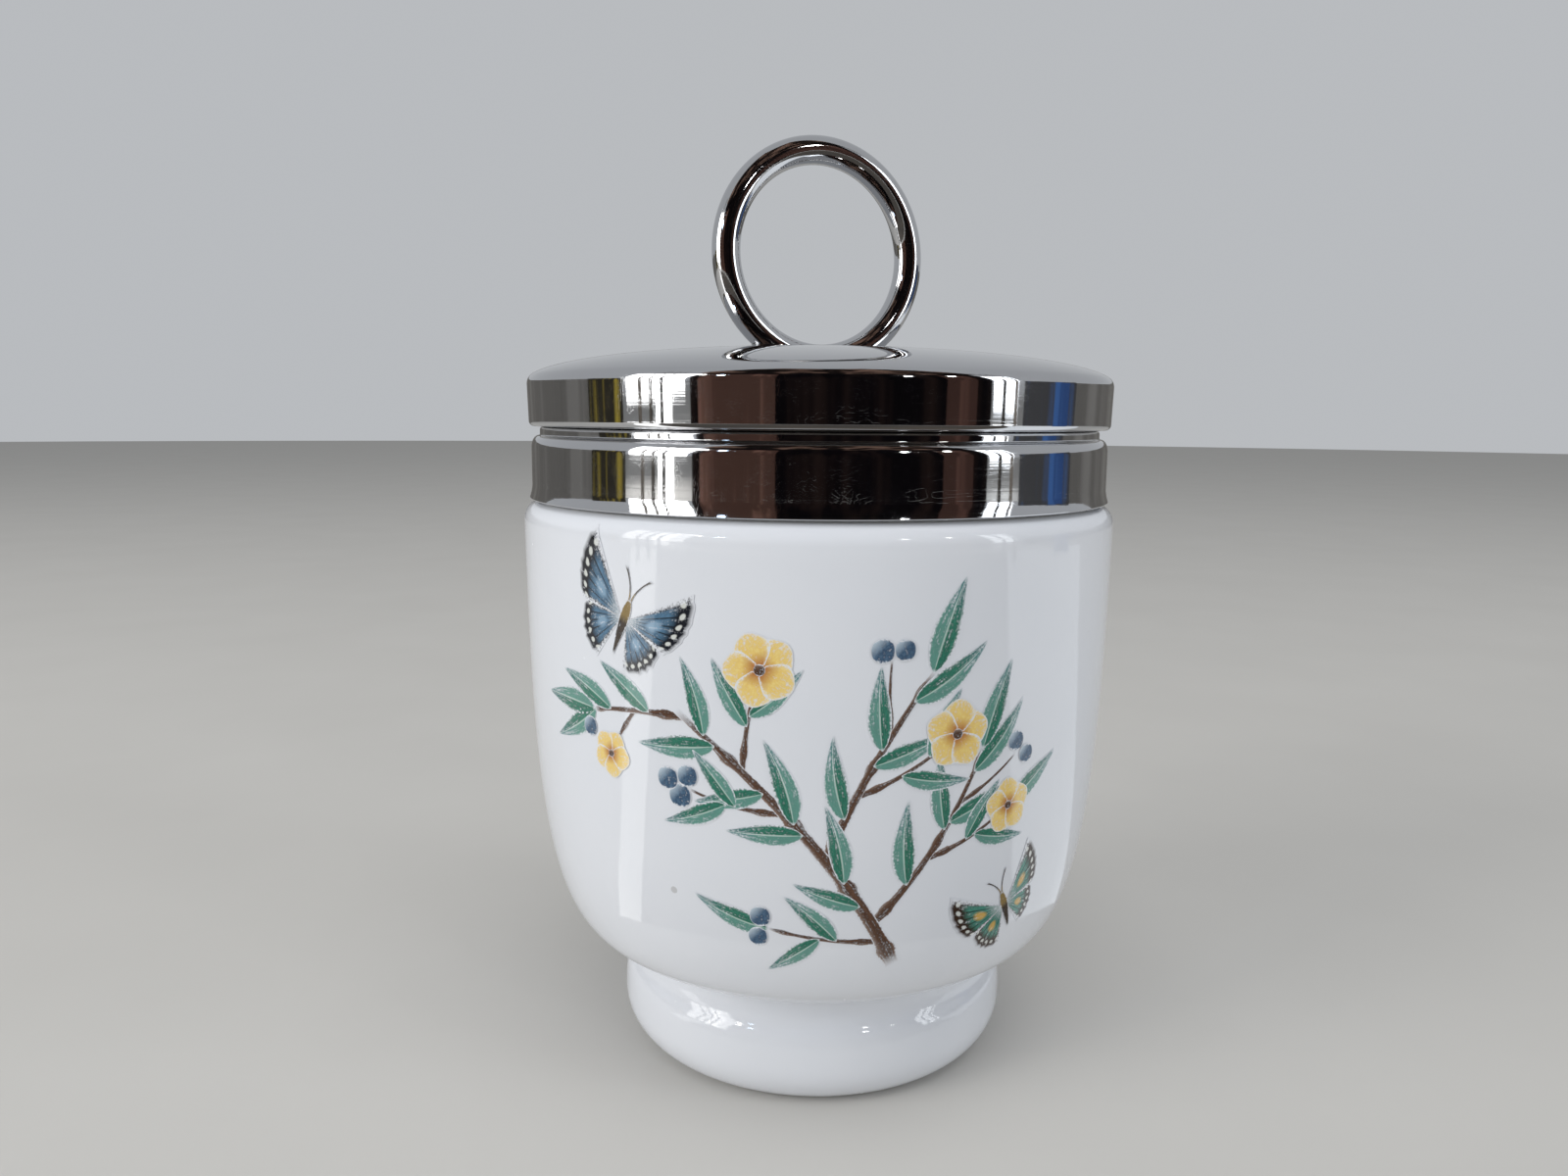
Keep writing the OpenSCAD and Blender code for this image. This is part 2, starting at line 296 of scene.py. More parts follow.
def lay(motif, u, z, turned, size=1.0, bend=0.0, lift=0.0, flip=False):
    """Copies a flat motif onto the bowl, u millimetres right of the side that faces the camera."""
    piece = motif.copy()
    piece.data = motif.data.copy()
    bpy.context.scene.collection.objects.link(piece)
    a = math.radians(turned)
    for v in piece.data.vertices:
        x, y = v.co.x * size, v.co.y * size * (-1 if flip else 1) + bend * (v.co.x * size) ** 2
        du, dz = x * math.cos(a) - y * math.sin(a), x * math.sin(a) + y * math.cos(a)
        around = math.radians(FRONT) + (u + du) / bowl_r
        r = bowl_radius(z + dz) + FILM * FILM_STAND + lift
        v.co = (r * math.sin(around) * MM, -r * math.cos(around) * MM, (z + dz) * MM)
    return piece


def join(piece, *others):
    """Makes other pieces part of a piece."""
    select_piece(piece)
    for other in others:
        other.select_set(True)
    bpy.ops.object.join()


def fix_print(name, motif, laid, finish):
    """Joins the copies of a motif, gives them their film's thickness and puts them on the cup."""
    piece = laid[0]
    join(piece, *laid[1:])
    piece.name = piece.data.name = name
    bpy.data.objects.remove(motif)
    select_piece(piece)
    film = piece.modifiers.new("film", "SOLIDIFY")
    film.thickness, film.offset = FILM * MM, 0.0
    bpy.ops.object.modifier_apply(modifier=film.name)
    close_up(piece, 40)
    piece.data.materials.append(finish)
    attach(piece, "cup_body")


# Ink of a transfer print: brush streaks along the motif, fine dots where it thins out, and a
# ragged edge where the bare glaze shows.
printing, given, result = new_effect("printing", ("Place", "Along", "Across", "Streaks", "Density"),
                                     ("Ink", "Tone", "Off Middle"))
dots = noise(printing, given["Place"], 5200.0, 2.0, 0.7)
along = node(printing, "CombineXYZ", {"X": sum_of(printing, "MULTIPLY", given["Along"], 5.0),
                                      "Y": sum_of(printing, "MULTIPLY", given["Across"],
                                                  given["Streaks"]),
                                      "Z": noise(printing, given["Place"], 60.0, 0.0)}).outputs[0]
streaks = noise(printing, along, 1.0, 2.0, 0.6)
off = sum_of(printing, "ABSOLUTE", sum_of(printing, "MULTIPLY_ADD", given["Across"], 2.0, -1.0))
printing.links.new(off, result["Off Middle"])
ragged = sum_of(printing, "MULTIPLY_ADD", sum_of(printing, "SUBTRACT", dots, 0.5), 0.6, off)
edges = sum_of(printing, "MULTIPLY", ramp(printing, ragged, 0.80, 0.96, 1.0, 0.0),
               sum_of(printing, "MULTIPLY", ramp(printing, given["Along"], 0.0, 0.04),
                      ramp(printing, given["Along"], 0.93, 1.0, 1.0, 0.0)))
laid_on = sum_of(printing, "MULTIPLY_ADD", sum_of(printing, "SUBTRACT", streaks, 0.5), 1.5,
                 given["Density"])
laid_on = sum_of(printing, "MULTIPLY_ADD", sum_of(printing, "SUBTRACT", dots, 0.5), 1.1, laid_on)
printing.links.new(sum_of(printing, "MULTIPLY", ramp(printing, laid_on, 0.25, 0.75), edges),
                   result["Ink"])
tone = sum_of(printing, "MULTIPLY_ADD", dots, 0.35, sum_of(printing, "MULTIPLY", streaks, 0.65))
printing.links.new(tone, result["Tone"])


def printed(name, streaks, density, colour):
    """A printed finish. colour(tree, ink, s, t) gives the ink's colour by place in the motif."""
    material, tree, shader, place, glazed = glaze(name, GLAZE_WHITE, GLAZE_ROUGH)
    at = node(tree, "SeparateXYZ", {0: node(tree, "UVMap", uv_map="print").outputs[0]}).outputs
    thick = density(tree, at[0], at[1]) if callable(density) else density
    ink = effect(tree, printing, Place=place, Along=at[0], Across=at[1], Streaks=streaks,
                 Density=thick)
    tree.links.new(tint(tree, ink["Ink"], glazed, colour(tree, ink, at[0], at[1])),
                   shader.inputs["Base Color"])
    return material


def toned(tree, ink, deep, pale, spread=0.15):
    """The ink from its deep to its pale tone, which change over a spread about the middle."""
    return tint(tree, ramp(tree, ink["Tone"], 0.5 - spread, 0.5 + spread), deep, pale)


def bark(tree, ink, s, t):
    """Dark brown, worn pale along one side."""
    dark = toned(tree, ink, (0.018, 0.012, 0.011, 1), (0.16, 0.085, 0.055, 1))
    return tint(tree, ramp(tree, t, 0.62, 0.95, 0.0, 0.5), dark, (0.42, 0.31, 0.25, 1))


def leaf_green(tree, ink, s, t):
    """Green with one half paler, a blue tip and a pale rib."""
    deep = toned(tree, ink, (0.012, 0.095, 0.062, 1), (0.055, 0.235, 0.165, 1), 0.12)
    half = tint(tree, ramp(tree, t, 0.47, 0.53, 0.0, 0.42), deep, (0.24, 0.46, 0.42, 1))
    blue = tint(tree, ramp(tree, s, 0.55, 1.0, 0.0, 0.55), half, (0.045, 0.13, 0.21, 1))
    rib = ramp(tree, ink["Off Middle"], 0.03, 0.10, 0.75, 0.0)
    return tint(tree, rib, blue, (0.55, 0.68, 0.62, 1))


def petal_yellow(tree, ink, s, t):
    """Yellow with a red-brown throat and pale edges."""
    pale = toned(tree, ink, (0.80, 0.52, 0.11, 1), (0.86, 0.68, 0.27, 1))
    throat = tint(tree, ramp(tree, s, 0.05, 0.42, 0.9, 0.0), pale, (0.42, 0.13, 0.04, 1))
    edge = ramp(tree, ink["Off Middle"], 0.6, 1.0, 0.0, 0.5)
    return tint(tree, edge, throat, (0.90, 0.78, 0.45, 1))


def berry_blue(tree, ink, s, t):
    """Dark blue with a pale bloom on the upper left."""
    deep = toned(tree, ink, (0.022, 0.05, 0.10, 1), (0.11, 0.19, 0.29, 1))
    bloom = ramp(tree, sum_of(tree, "SUBTRACT", t, s), 0.05, 0.7, 0.0, 0.85)
    return tint(tree, bloom, deep, (0.52, 0.62, 0.70, 1))


def apart(tree, place, point):
    """How far a place is from a point."""
    return node(tree, "VectorMath", {0: place, 1: point}, operation="DISTANCE").outputs["Value"]


def wing_ink(ground, tip, blot):
    """Ink of a wing: dark veins, a dark rim with a row of pale spots, and one bright blot."""
    def colour(tree, ink, s, t):
        base = toned(tree, ink, ground, [min(1, c * 2.3) for c in ground[:3]] + [1], 0.18)
        base = tint(tree, ramp(tree, s, 0.0, 0.35, 0.75, 0.0), base, (0.62, 0.68, 0.70, 1))
        fan = sum_of(tree, "FRACT", sum_of(tree, "MULTIPLY", t, 6.0))
        off = sum_of(tree, "ABSOLUTE", sum_of(tree, "SUBTRACT", fan, 0.5))
        base = tint(tree, ramp(tree, off, 0.05, 0.14, 0.85, 0.0), base, (0.015, 0.018, 0.022, 1))
        rim = sum_of(tree, "MAXIMUM", ramp(tree, s, 0.66, 0.80),
                     ramp(tree, ink["Off Middle"], 0.74, 0.9))
        base = tint(tree, rim, base, tip)
        row = node(tree, "CombineXYZ", {"X": sum_of(tree, "MULTIPLY_ADD", s, 7.0, -5.9),
                                        "Y": fan, "Z": 0.5}).outputs[0]
        spot = ramp(tree, apart(tree, row, (0.1, 0.5, 0.5)), 0.22, 0.34, 0.9, 0.0)
        base = tint(tree, spot, base, (0.72, 0.74, 0.70, 1))
        near = node(tree, "CombineXYZ", {"X": sum_of(tree, "MULTIPLY", s, 2.6),
                                         "Y": sum_of(tree, "MULTIPLY", t, 2.0),
                                         "Z": 0.0}).outputs[0]
        patch = ramp(tree, apart(tree, near, (1.25, 1.05, 0.0)), 0.22, 0.42, 0.85, 0.0)
        return tint(tree, patch, base, blot)
    return colour


def fur_ink(tree, ink, s, t):
    """Near black, tawny towards the head."""
    dark = toned(tree, ink, (0.012, 0.011, 0.013, 1), (0.10, 0.075, 0.055, 1))
    return tint(tree, ramp(tree, s, 0.28, 0.42, 0.6, 0.0), dark, (0.40, 0.28, 0.10, 1))


def stroke(length, thick, thin, wave):
    """Outline of a stroke that thins towards its end, with small knots along it."""
    def outline(s, t):
        knot = 0.22 * thick * max(0, math.sin(s * wave)) ** 6
        half = (thick + (thin - thick) * s) / 2 + knot
        return s * length, t * half
    return outline


# Twigs: (u, height, direction, length, thickness, bend), each from its thick end. Two rise on
# their own, at the front and at the back, and the others start part of the way along one.
twigs = [(7.5, 17.2, 117, 28.0, 1.4, 0.009), (80.0, 24.0, 48, 19.0, 0.9, -0.010)]


def on_twig(n, share):
    """Place and direction on a twig, at a share of its length."""
    u, z, way, length, _, bend = twigs[n]
    x, a = share * length, math.radians(way)
    y = bend * x * x
    return (u + x * math.cos(a) - y * math.sin(a), z + x * math.sin(a) + y * math.cos(a),
            way + math.degrees(math.atan(2 * bend * x)))


# (twig it leaves, share of that twig's length, turn away from it, length, thickness, bend)
for parent, share, turned, length, thick, bend in (
        (0, 0.97, 34, 9.5, 0.72, 0.012), (0, 0.42, -60, 17.5, 0.95, -0.008),
        (0, 0.17, -76, 17.0, 0.88, 0.012), (4, 0.42, -42, 8.5, 0.55, 0.022),
        (3, 0.34, -44, 9.5, 0.55, 0.018), (0, 0.76, -52, 8.5, 0.55, -0.012),
        (0, 0.60, 46, 8.0, 0.55, -0.022), (0, 0.10, 60, 10.0, 0.55, -0.012),
        (2, 0.50, 46, 5.0, 0.42, 0.02), (3, 0.66, 40, 6.0, 0.42, -0.02),
        (4, 0.72, -38, 6.5, 0.42, 0.02), (1, 0.45, 42, 8.0, 0.5, -0.02),
        (1, 0.62, -40, 6.5, 0.45, 0.02)):
    u, z, way = on_twig(parent, share)
    twigs.append((u, z, way + turned, length, thick, bend))
twig_step, twig_taper, knots_per_mm = 0.0006, 0.45, 0.9
laid = []
for n, (u, z, way, length, thick, bend) in enumerate(twigs):
    motif = flat_motif("twig_flat", 60, 6,
                       stroke(length, thick, thick * twig_taper, length * knots_per_mm))
    laid.append(lay(motif, u, z, way, bend=bend, lift=twig_step * (len(twigs) - n)))
    if n < len(twigs) - 1:
        bpy.data.objects.remove(motif)
fix_print("printed_twigs", motif, laid, printed("twig_print", 9.0, 0.82, bark))

# Leaves: (twig, share of its length, turn away from it, size).
leaves = ((0, 0.24, 44, 0.80), (0, 0.33, -34, 0.90), (0, 0.52, 52, 0.85), (0, 0.56, -36, 0.95),
          (0, 0.68, 62, 0.8), (0, 0.86, 50, 0.95), (0, 0.90, -46, 0.85), (2, 0.35, -40, 0.85),
          (2, 0.78, -38, 0.9), (2, 0.98, 30, 0.95), (2, 1.0, -16, 1.0), (3, 0.22, 46, 0.9),
          (3, 0.50, -46, 0.85), (3, 0.58, 40, 0.9), (3, 0.84, -34, 1.0), (3, 0.99, 22, 1.05),
          (4, 0.26, 52, 0.95), (4, 0.58, 46, 0.85), (4, 0.62, -42, 0.9), (4, 0.88, -30, 0.95),
          (4, 0.99, 8, 1.0), (5, 0.45, 42, 0.75), (5, 0.55, -44, 0.75), (5, 1.0, -4, 0.9),
          (6, 0.42, -46, 0.8), (6, 0.70, 38, 0.8), (7, 0.45, 44, 0.8), (7, 0.55, -48, 0.75),
          (8, 0.50, -44, 0.75), (8, 0.60, 42, 0.8), (9, 0.40, -44, 0.8), (9, 0.55, 46, 0.75),
          (9, 1.0, 6, 0.9), (1, 0.25, 42, 0.9), (1, 0.35, -42, 0.9), (1, 0.75, 44, 0.9),
          (1, 1.0, -14, 1.0), (13, 0.5, 44, 0.8), (14, 0.5, -40, 0.8), (14, 1.0, 8, 0.9))
motif = flat_motif("leaf_flat", 14, 6, lambda s, t: (
    7.6 * s, t * (1.22 * math.sin(math.pi * s ** 0.82) ** 0.9 * (1 - 0.35 * s) + 0.06)))
leaf_lift, leaf_step = 0.011, 0.0005
laid = []
for n, (twig, share, turned, size) in enumerate(leaves):
    u, z, way = on_twig(twig, share)
    bend = math.copysign(0.022 + 0.012 * math.sin(n * 2.4), -turned)
    laid.append(lay(motif, u, z, way + turned, size, bend, leaf_lift + leaf_step * n, turned < 0))
fix_print("printed_leaves", motif, laid, printed(
    "leaf_print", 22.0, lambda tree, s, t: ramp(tree, s, 0.2, 1.0, 0.92, 0.60), leaf_green))

# Blossoms of five petals that lie one on the next: (twig that ends in it, size, turn).
blossoms = ((6, 0.90, 15), (7, 0.95, 40), (5, 0.76, 25), (10, 0.66, 60), (13, 0.85, 30))
petals, petal_lift, petal_step, heart_lift = 5, 0.034, 0.0012, 0.044
motif = flat_motif("petal_flat", 10, 8, lambda s, t: (
    0.25 + 3.0 * s - 0.25 * s * t * t,
    t * (0.28 + 1.4 * math.sin(math.pi * min(1, 0.12 + 0.80 * s) ** 1.25))))
laid = [lay(motif, *on_twig(twig, 1.0)[:2], turned + 360 / petals * k, size, 0.0,
            petal_lift + petal_step * k)
        for twig, size, turned in blossoms for k in range(petals)]
fix_print("printed_petals", motif, laid, printed(
    "petal_print", 14.0, lambda tree, s, t: ramp(tree, s, 0.35, 1.0, 0.92, 0.58), petal_yellow))


def disc(radius):
    """Outline that turns the square into a disc."""
    return lambda s, t: ((2 * s - 1) * math.sqrt(1 - t * t / 2) * radius,
                         t * math.sqrt(1 - (2 * s - 1) ** 2 / 2) * radius)


motif = flat_motif("heart_flat", 6, 6, disc(0.5))
laid = [lay(motif, *on_twig(twig, 1.0)[:2], 0, size, 0.0, heart_lift)
        for twig, size, _ in blossoms]
fix_print("printed_hearts", motif, laid, printed("heart_print", 5.0, 0.85, bark))

# Berries sit in twos and threes at the ends of twigs: (twig, out from its end, aside, size).
berries = ((8, 0.6, 0.9, 0.95), (8, 0.5, -1.0, 0.85), (8, 2.1, 0.0, 0.9), (9, 0.7, 1.0, 0.8),
           (9, 0.9, -0.9, 0.85), (11, 0.7, 0.8, 0.9), (11, 0.9, -1.0, 0.8), (2, 0.9, 1.5, 0.8),
           (12, 0.7, 0.9, 0.8), (12, 0.9, -0.9, 0.75), (14, 0.8, 0.9, 0.85), (14, 0.9, -0.9, 0.8))
motif = flat_motif("berry_flat", 8, 8, disc(1.1))
berry_lift, berry_step = 0.036, 0.001
laid = []
for n, (twig, out, aside, size) in enumerate(berries):
    u, z, way = on_twig(twig, 1.0)
    a = math.radians(way)
    laid.append(lay(motif, u + out * math.cos(a) - aside * math.sin(a),
                    z + out * math.sin(a) + aside * math.cos(a), 0, size, 0.0,
                    berry_lift + berry_step * n))
fix_print("printed_berries", motif, laid, printed("berry_print", 5.0, 0.95, berry_blue))


def wing(start, end, reach):
    """Outline of a wing that fans out from its root, between two angles from the body."""
    def outline(s, t):
        a = math.radians(start + (end - start) * (1 - t) / 2)
        r = (0.03 + 0.97 * s) * reach(t) * (1 - 0.10 * math.cos(math.pi * t / 2) * (1 - s))
        return 0.4 + r * math.cos(a), 0.35 + r * math.sin(a)
    return outline


# Two butterflies: (u, height, direction of the body, size, wing colours). The far pair of
# wings is a little smaller, and each part lies at its own height over the bowl.
SLATE = ((0.05, 0.10, 0.155, 1), (0.012, 0.014, 0.02, 1), (0.26, 0.40, 0.54, 1))
DUSK = ((0.04, 0.14, 0.11, 1), (0.035, 0.018, 0.011, 1), (0.70, 0.42, 0.10, 1))
butterflies = ((-16.5, 45.6, 66, 0.78, SLATE), (19.0, 20.8, 118, 0.66, DUSK))
far_wings, hind_lift, fore_lift, feeler_lift, body_lift = 0.9, 0.020, 0.027, 0.034, 0.038
bodies = []
for n, (u, z, way, size, inks) in enumerate(butterflies):
    fore = flat_motif("forewing_flat", 18, 14, wing(
        44, 100, lambda t: 6.2 + 4.0 * ((t + 1) / 2) ** 0.9 - 0.9 * max(0, t - 0.7)
        + 0.12 * math.cos(19 * t)))
    hind = flat_motif("hindwing_flat", 16, 14, wing(
        96, 164, lambda t: 6.3 - 0.9 * t * t + 0.5 * max(0, -t) + 0.18 * math.cos(19 * t)))
    finish = printed("wing_print_%d" % n, 17.0,
                     lambda tree, s, t: ramp(tree, s, 0.0, 0.4, 0.55, 0.9), wing_ink(*inks))
    laid = [lay(shape, u, z, way, size * (far_wings if flip else 1.0), 0.0,
                lift + 0.001 * flip, flip)
            for shape, lift in ((hind, hind_lift), (fore, fore_lift)) for flip in (False, True)]
    bpy.data.objects.remove(hind)
    fix_print("printed_wings_%d" % n, fore, laid, finish)
    body = flat_motif("body_flat", 20, 6, lambda s, t: (
        2.6 - 6.4 * s, t * (0.12 + 0.62 * math.sin(math.pi * s ** 0.7) * (1 - 0.45 * s))))
    feeler = flat_motif("feeler_flat", 16, 2, lambda s, t: (
        2.3 + 3.4 * s, 0.15 + 1.6 * s * s + t * (0.09 + 0.13 * s ** 8)))
    bodies.append(lay(body, u, z, way, size, 0.0, body_lift))
    bodies += [lay(feeler, u, z, way, size, 0.0, feeler_lift + 0.001 * flip, flip)
               for flip in (False, True)]
    bpy.data.objects.remove(body)
    if n < len(butterflies) - 1:
        bpy.data.objects.remove(feeler)
fix_print("printed_bodies", feeler, bodies, printed("body_print", 12.0, 0.95, fur_ink))

# ---------------------------------------------------------------- Cement
# White cement was packed between the porcelain neck and the metal collar and holds the two
# together for good. Only its upper edge shows, inside the collar, when the lid is off.
cement, tree, shader, place = new_finish("neck_cement")
grains = noise(tree, place, 2600.0, 4.0, 0.7)
tree.links.new(tint(tree, grains, (0.52, 0.50, 0.45, 1), (0.74, 0.72, 0.66, 1)),
               shader.inputs["Base Color"])
tree.links.new(ramp(tree, grains, 0.2, 0.8, 0.8, 0.95), shader.inputs["Roughness"])
bump = node(tree, "Bump", {"Height": grains, "Strength": 0.6, "Distance": 0.0001})
tree.links.new(bump.outputs["Normal"], shader.inputs["Normal"])
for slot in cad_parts["collar_cement"].material_slots:
    slot.material = cement

# ---------------------------------------------------------------- Neck collar
# The collar is one piece of thin sheet metal, pressed and spun to shape, polished and chromed:
# a plain band with a slightly flared lower edge, a low step that the lid comes down on, and a
# neck with a raised right-handed thread. The cement holds it on the cup.
collar_t, collar_r, collar_z, band_top, collar_round = 0.5, 27.7, 54.3, 60.2, 1.1
collar_flare, flare_h, step_r, step_z = 0.25, 1.2, 26.9, 61.0
thread_neck_r, thread_top, thread_pitch = 25.9, 65.3, 2.5

# The outline starts at the lower edge, goes up outside over the rounded top of the band, the
# step and the neck, and comes back down inside.
edge, fold, step_round, root, lip, corner = collar_t * 0.42, 0.12, 0.3, 0.15, 0.2, 0.5
fold_r, neck_in = step_r + 0.1, thread_neck_r - collar_t
step_in, band_in = step_r - collar_t, collar_r - collar_t
collar_outline = (
    arc((collar_r + collar_flare - edge, collar_z + edge), edge, 270, 340, 6)
    + [(collar_r + collar_flare * 0.35, collar_z + flare_h * 0.55), (collar_r, collar_z + flare_h)]
    + straight((collar_r, collar_z + flare_h), (collar_r, band_top - collar_round))
    + [(fold_r + (collar_r - fold_r) * math.cos(a), band_top - collar_round * (1 - math.sin(a)))
       for a in (math.pi / 2 * k / 16 for k in range(17))]
    + arc((step_r + fold, band_top + fold), fold, 270, 180, 4)
    + arc((step_r - step_round, step_z - step_round), step_round, 0, 90, 8)
    + straight((step_r - step_round, step_z), (thread_neck_r + root, step_z))
    + arc((thread_neck_r + root, step_z + root), root, 270, 180, 4)
    + straight((thread_neck_r, step_z + lip), (thread_neck_r, thread_top - lip))
    + arc((thread_neck_r - lip, thread_top - lip), lip, 0, 90, 5)
    + arc((neck_in + lip, thread_top - lip), lip, 90, 180, 5)
    + straight((neck_in, thread_top - lip - 0.05), (neck_in, step_z))
    + [(neck_in, step_z - collar_t), (step_in, step_z - collar_t),
       (step_in, band_top - collar_t), (band_in - corner, band_top - collar_t),
       (band_in, band_top - collar_t - corner), (band_in, collar_z + flare_h),
       (band_in + collar_flare, collar_z + edge),
       (collar_r + collar_flare - edge, collar_z)])
collar = turn("neck_collar_shell", collar_outline)

# BEAD is half the height of the thread's bead, and TURN_STEPS the steps of one turn of it.
BEAD, TURN_STEPS = 0.35, 144


def roll_thread(name, radius, depth, low, turns):
    """A right-handed bead on a wall: an oval, screwed up the axis and closed at its ends."""
    bead = add(name, bpy.ops.mesh.primitive_circle_add, vertices=16, radius=BEAD * MM,
               rotation=(math.pi / 2, 0, 0), location=(radius * MM, 0, low * MM))
    bpy.ops.object.transform_apply(location=True, rotation=True)
    bpy.ops.object.mode_set(mode="EDIT")
    bpy.ops.mesh.select_all(action="SELECT")
    bpy.ops.transform.resize(value=(depth / BEAD, 1, 1), center_override=(radius * MM, 0, low * MM))
    bpy.ops.object.mode_set(mode="OBJECT")
    screw = bead.modifiers.new("screw", "SCREW")
    screw.axis, screw.angle, screw.iterations = "Z", math.tau * turns, 1
    screw.screw_offset = thread_pitch * turns * MM
    screw.steps = screw.render_steps = int(TURN_STEPS * turns)
    bpy.ops.object.modifier_apply(modifier=screw.name)
    bpy.ops.object.mode_set(mode="EDIT")
    bpy.ops.mesh.select_all(action="SELECT")
    bpy.ops.mesh.fill_holes(sides=0)
    bpy.ops.object.mode_set(mode="OBJECT")
    close_up(bead, 40)
    return bead


bead_rise, bead_depth, bead_turns = 0.85, 0.55, 1.2
join(collar, roll_thread("neck_thread", thread_neck_r, bead_depth, step_z + bead_rise, bead_turns))

# Hairline scratches of handling and wiping, in three directions, and the faint rings that the
# polishing wheel leaves round the axis of a spun piece.
wiping, given, result = new_effect("wiping", ("Place", "Amount"), ("Scratches", "Polish Rings"))
lines = []
for turned in ((0.3, 0.2, 0.5), (1.1, -0.6, 1.9), (-0.5, 0.9, 3.1)):
    laid = node(wiping, "Mapping", {"Vector": given["Place"], "Rotation": turned,
                                    "Scale": (140.0, 5200.0, 2600.0)}).outputs[0]
    streak = noise(wiping, laid, 1.0, 0.0)
    thin = sum_of(wiping, "ABSOLUTE", sum_of(wiping, "SUBTRACT", streak, 0.5))
    few = ramp(wiping, noise(wiping, laid, 0.22, 0.0), 0.56, 0.66)
    lines.append(sum_of(wiping, "MULTIPLY", ramp(wiping, thin, 0.0, 0.02, 1.0, 0.0), few))
scratched = sum_of(wiping, "MAXIMUM", sum_of(wiping, "MAXIMUM", lines[0], lines[1]), lines[2])
wiping.links.new(sum_of(wiping, "MULTIPLY", scratched, given["Amount"]), result["Scratches"])
axes = node(wiping, "SeparateXYZ", {0: given["Place"]}).outputs
flat = node(wiping, "CombineXYZ", {"X": axes["X"], "Y": axes["Y"], "Z": 0.0}).outputs[0]
radius = node(wiping, "VectorMath", {0: flat}, operation="LENGTH").outputs["Value"]
around = node(wiping, "CombineXYZ", {"X": radius, "Y": axes["Z"], "Z": 0.0}).outputs[0]
wiping.links.new(noise(wiping, around, 5200.0, 3.0, 0.7), result["Polish Rings"])


def chrome(name, colour, rough, scratches, smears):
    """Chrome plate over polished metal, with wiping marks, finger haze and a little dust."""
    material, tree, shader, place = new_finish(name)
    wiped = effect(tree, wiping, Place=place, Amount=scratches)
    marks = effect(tree, dusting, Place=place, Speck_Size=0.0007, Specks=0.04, Smears=smears)
    haze = sum_of(tree, "MINIMUM", marks["Smear Mask"], 1.0)
    warm = [c * k for c, k in zip(colour, (0.93, 0.92, 0.895))] + [1]
    tree.links.new(tint(tree, haze, (*colour, 1), warm), shader.inputs["Base Color"])
    gloss = sum_of(tree, "MULTIPLY_ADD", haze, 0.09, rough)
    gloss = sum_of(tree, "MULTIPLY_ADD", wiped["Scratches"], 0.16, gloss)
    gloss = sum_of(tree, "MULTIPLY_ADD", marks["Speck Mask"], 0.12, gloss)
    tree.links.new(gloss, shader.inputs["Roughness"])
    shader.inputs["Metallic"].default_value = 1.0
    height = sum_of(tree, "MULTIPLY_ADD", wiped["Scratches"], -0.5, wiped["Polish Rings"])
    height = sum_of(tree, "MULTIPLY_ADD", noise(tree, place, 120.0, 1.0), 9.0, height)
    bump = node(tree, "Bump", {"Height": height, "Strength": 0.4, "Distance": 0.0000032})
    tree.links.new(bump.outputs["Normal"], shader.inputs["Normal"])
    return material


CHROME = (0.57, 0.575, 0.59)
collar.data.materials.append(chrome("collar_chrome", CHROME, 0.035, 0.5, 0.45))
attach(collar, "cup_body")
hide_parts("neck_collar")

# ---------------------------------------------------------------- Lid
# The lid is pressed from one sheet and chromed: a short side wall with its lower edge curled
# inwards, a small shoulder, and a shallow dome with a narrow trough that takes the ring.
# A raised thread inside its wall engages the collar's. The stud washer carries it.
lid_t, lid_r, lid_low_r, lid_edge, lid_z, side_top = 0.6, 28.0, 27.9, 0.5, 61.05, 64.95
lid_round, shoulder_turn, shoulder_run, dome_h = 1.1, 60, 3.2, 3.7
curl_r, curl_h, curl_round, dome_top = 26.6, 0.55, 0.2, side_top + dome_h


def lid_sheet(d):
    """Outline of the sheet from the axis to its lower edge, moved in by d."""
    a, r, top = math.radians(shoulder_turn), lid_round - d, side_top + dome_h - d
    x, z = lid_r - lid_round + r * math.cos(a), side_top + r * math.sin(a)
    return (curve((0, top), (lid_r / 2, top),
                  (x - shoulder_run * math.sin(a), z + shoulder_run * math.cos(a)), (x, z), 64)
            + arc((lid_r - lid_round, side_top), r, shoulder_turn, 0, 14)
            + straight((lid_r - d, side_top), (lid_low_r - d, lid_z + curl_h)))


def dome_height(r):
    """Height of the lid's upper face at a radius."""
    for (r0, z0), (r1, z1) in zip(lid_sheet(0), lid_sheet(0)[1:]):
        if r0 <= r <= r1:
            return z0 + (z1 - z0) * (r - r0) / (r1 - r0)
    raise ValueError(r)


lid = turn("lid_shell_sheet", lid_sheet(0)
           + arc((lid_low_r - lid_edge, lid_z + lid_edge), lid_edge, 0, -90, 10)
           + straight((lid_low_r - lid_edge - 0.02, lid_z), (curl_r + curl_round, lid_z))
           + arc((curl_r + curl_round, lid_z + curl_round), curl_round, 270, 180, 4)
           + arc((curl_r + curl_round, lid_z + curl_h - curl_round), curl_round, 180, 90, 4)
           + straight((curl_r + curl_round, lid_z + curl_h), (lid_low_r - lid_t, lid_z + curl_h))
           + lid_sheet(lid_t)[::-1])

ring_r, wire_r, ring_gap, channel_gap, stud_r, play = 11.1, 1.35, 0.45, 0.12, 1.25, 0.05
ring_c = ring_r - wire_r
ring_z = dome_top + ring_gap + ring_r - 2 * wire_r
channel_z = ring_z - ring_r - play
channel_half = math.sqrt(ring_r ** 2 - (ring_z - dome_top) ** 2) + 0.15
end_x = channel_half - wire_r - channel_gap


